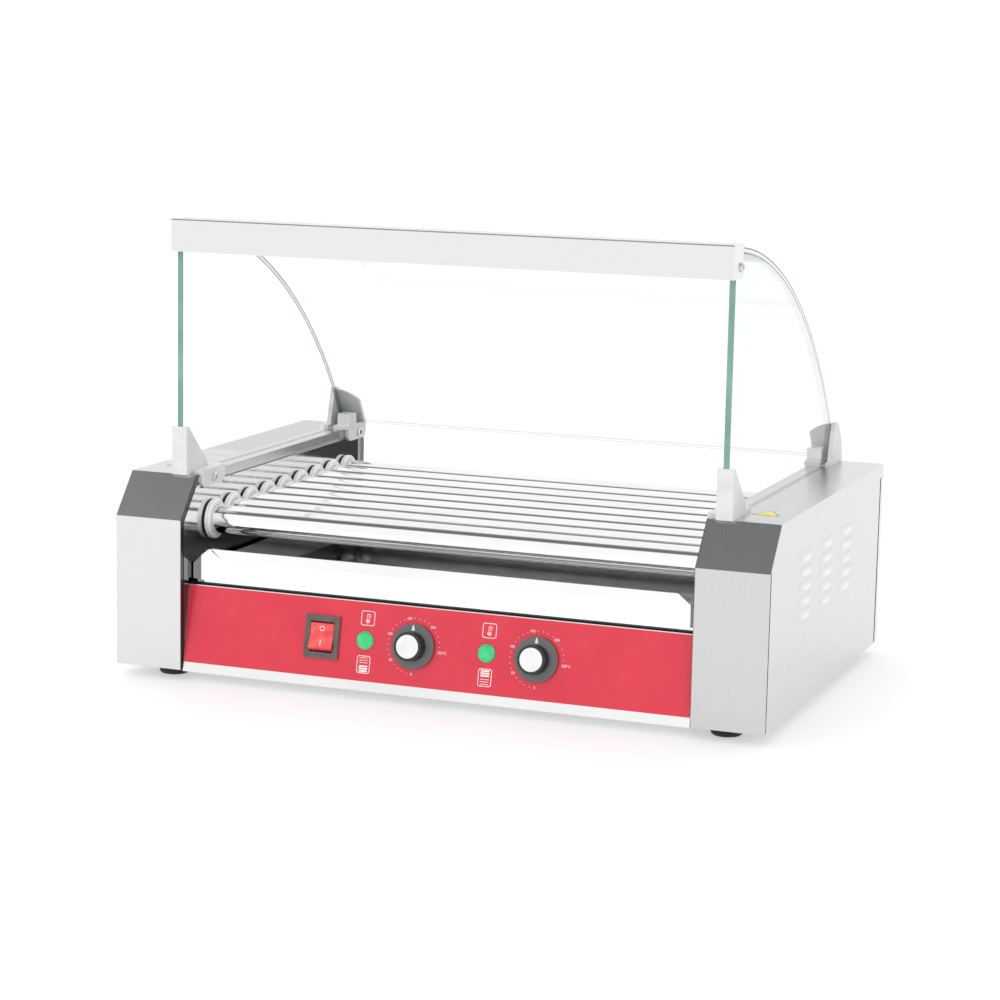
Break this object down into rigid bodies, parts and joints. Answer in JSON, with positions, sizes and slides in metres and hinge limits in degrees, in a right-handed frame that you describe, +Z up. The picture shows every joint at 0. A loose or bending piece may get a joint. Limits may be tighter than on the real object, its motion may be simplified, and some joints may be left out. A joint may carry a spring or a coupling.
{
  "type": "hot dog roller grill",
  "caption": "Countertop hot dog roller grill: driven heated rollers between two steel side boxes, curved glass hood, pull-out drip tray and a tilted red control panel.",
  "frame": {"origin": "on the counter, under the middle of the bounding box", "axes": "+X to the operator's right along the rollers, -Y towards the operator and the control panel, +Z up"},
  "size_m": [0.584, 0.3966, 0.3945],
  "materials": {
    "galvanised_pan": "satin",
    "stainless_cover": "brushed",
    "polished_steel": "polished",
    "roller_tube": "polished",
    "red_label": "gloss",
    "white_ptfe": "satin",
    "black_seal": "matte",
    "heater_sheath": "satin",
    "chain_steel": "satin",
    "motor_case": "satin",
    "thermostat_body": "matte",
    "black_knob": "matte",
    "knob_cap": "satin",
    "switch_housing": "satin",
    "red_rocker": "gloss",
    "green_lens": "gloss",
    "foot_rubber": "matte",
    "screw_steel": "satin",
    "clear_glass": "clear",
    "grey_bracket": "satin",
    "black_plastic": "matte",
    "terminal_block": "matte"
  },
  "bodies": {
    "housing": {"base_pan": "galvanised_pan", "back_panel": "stainless_cover", "control_panel": "stainless_cover", "panel_label": "red_label", "left_side_cover": "stainless_cover", "right_side_cover": "stainless_cover", "left_front_cover": "stainless_cover", "right_front_cover": "stainless_cover", "left_inner_wall": "polished_steel", "right_inner_wall": "polished_steel", "tray_deck": "polished_steel", "roller_bushes": "white_ptfe", "roller_seals": "black_seal", "heating_rods": "heater_sheath", "rod_supports": "galvanised_pan", "drive_chain": "chain_steel", "gear_motor": "motor_case", "motor_bracket": "galvanised_pan", "thermostats": "thermostat_body", "switch_housing": "switch_housing", "indicator_lamps": "green_lens", "rubber_feet": "foot_rubber", "foot_screws": "screw_steel", "left_side_glass": "clear_glass", "right_side_glass": "clear_glass", "curved_glass": "clear_glass", "header_bar": "stainless_cover", "front_glass_brackets": "grey_bracket", "rear_glass_brackets": "grey_bracket", "pan_head_screws": "screw_steel", "cable_gland": "black_plastic", "terminal_block": "terminal_block"},
    "roller_1": {"roller_1": "roller_tube", "sprocket_1": "chain_steel"},
    "roller_2": {"roller_2": "roller_tube", "sprocket_2": "chain_steel"},
    "roller_3": {"roller_3": "roller_tube", "sprocket_3": "chain_steel"},
    "roller_4": {"roller_4": "roller_tube", "sprocket_4": "chain_steel"},
    "roller_5": {"roller_5": "roller_tube", "sprocket_5": "chain_steel"},
    "roller_6": {"roller_6": "roller_tube", "sprocket_6": "chain_steel"},
    "roller_7": {"roller_7": "roller_tube", "sprocket_7": "chain_steel"},
    "roller_8": {"roller_8": "roller_tube", "sprocket_8": "chain_steel"},
    "roller_9": {"roller_9": "roller_tube", "sprocket_9": "chain_steel"},
    "motor_drive": {"motor_shaft": "chain_steel", "motor_sprocket": "chain_steel"},
    "front_zone_knob": {"left_knob": "black_knob", "left_knob_cap": "knob_cap", "left_spindle": "chain_steel"},
    "rear_zone_knob": {"right_knob": "black_knob", "right_knob_cap": "knob_cap", "right_spindle": "chain_steel"},
    "power_rocker": {"switch_rocker": "red_rocker"},
    "tray": {"drip_tray": "polished_steel"}
  },
  "joints": [
    {"name": "roller_1_spin", "type": "hinge", "parent": "housing", "child": "roller_1", "pos_m": [0, -0.13466, 0.1335], "axis": [1, 0, 0], "continuous": true},
    {"name": "roller_2_spin", "type": "hinge", "parent": "housing", "child": "roller_2", "pos_m": [0, -0.09966, 0.1335], "axis": [1, 0, 0], "continuous": true},
    {"name": "roller_3_spin", "type": "hinge", "parent": "housing", "child": "roller_3", "pos_m": [0, -0.06466, 0.1335], "axis": [1, 0, 0], "continuous": true},
    {"name": "roller_4_spin", "type": "hinge", "parent": "housing", "child": "roller_4", "pos_m": [0, -0.02966, 0.1335], "axis": [1, 0, 0], "continuous": true},
    {"name": "roller_5_spin", "type": "hinge", "parent": "housing", "child": "roller_5", "pos_m": [0, 0.00534, 0.1335], "axis": [1, 0, 0], "continuous": true},
    {"name": "roller_6_spin", "type": "hinge", "parent": "housing", "child": "roller_6", "pos_m": [0, 0.04034, 0.1335], "axis": [1, 0, 0], "continuous": true},
    {"name": "roller_7_spin", "type": "hinge", "parent": "housing", "child": "roller_7", "pos_m": [0, 0.07534, 0.1335], "axis": [1, 0, 0], "continuous": true},
    {"name": "roller_8_spin", "type": "hinge", "parent": "housing", "child": "roller_8", "pos_m": [0, 0.11034, 0.1335], "axis": [1, 0, 0], "continuous": true},
    {"name": "roller_9_spin", "type": "hinge", "parent": "housing", "child": "roller_9", "pos_m": [0, 0.14534, 0.1335], "axis": [1, 0, 0], "continuous": true},
    {"name": "motor_spin", "type": "hinge", "parent": "housing", "child": "motor_drive", "pos_m": [0.2411, 0.00534, 0.058], "axis": [1, 0, 0], "continuous": true},
    {"name": "front_zone_knob_turn", "type": "hinge", "parent": "housing", "child": "front_zone_knob", "pos_m": [-0.0158, -0.18231, 0.05011], "axis": [0, -0.9836, 0.1805], "range_deg": [-100, 180]},
    {"name": "rear_zone_knob_turn", "type": "hinge", "parent": "housing", "child": "rear_zone_knob", "pos_m": [0.0933, -0.18231, 0.05011], "axis": [0, -0.9836, 0.1805], "range_deg": [-100, 180]},
    {"name": "power_rocker_tilt", "type": "hinge", "parent": "housing", "child": "power_rocker", "pos_m": [-0.0988, -0.17936, 0.04957], "axis": [1, 0, 0], "range_deg": [0, 18]},
    {"name": "tray_slide", "type": "slide", "parent": "housing", "child": "tray", "axis": [0, -1, 0], "range_m": [0, 0.385]}
  ],
  "couplings": [
    {"joint": "roller_2_spin", "follows": "roller_1_spin", "ratio": 1},
    {"joint": "roller_3_spin", "follows": "roller_1_spin", "ratio": 1},
    {"joint": "roller_4_spin", "follows": "roller_1_spin", "ratio": 1},
    {"joint": "roller_5_spin", "follows": "roller_1_spin", "ratio": 1},
    {"joint": "roller_6_spin", "follows": "roller_1_spin", "ratio": 1},
    {"joint": "roller_7_spin", "follows": "roller_1_spin", "ratio": 1},
    {"joint": "roller_8_spin", "follows": "roller_1_spin", "ratio": 1},
    {"joint": "roller_9_spin", "follows": "roller_1_spin", "ratio": 1},
    {"joint": "motor_spin", "follows": "roller_1_spin", "ratio": 0.83333}
  ]
}
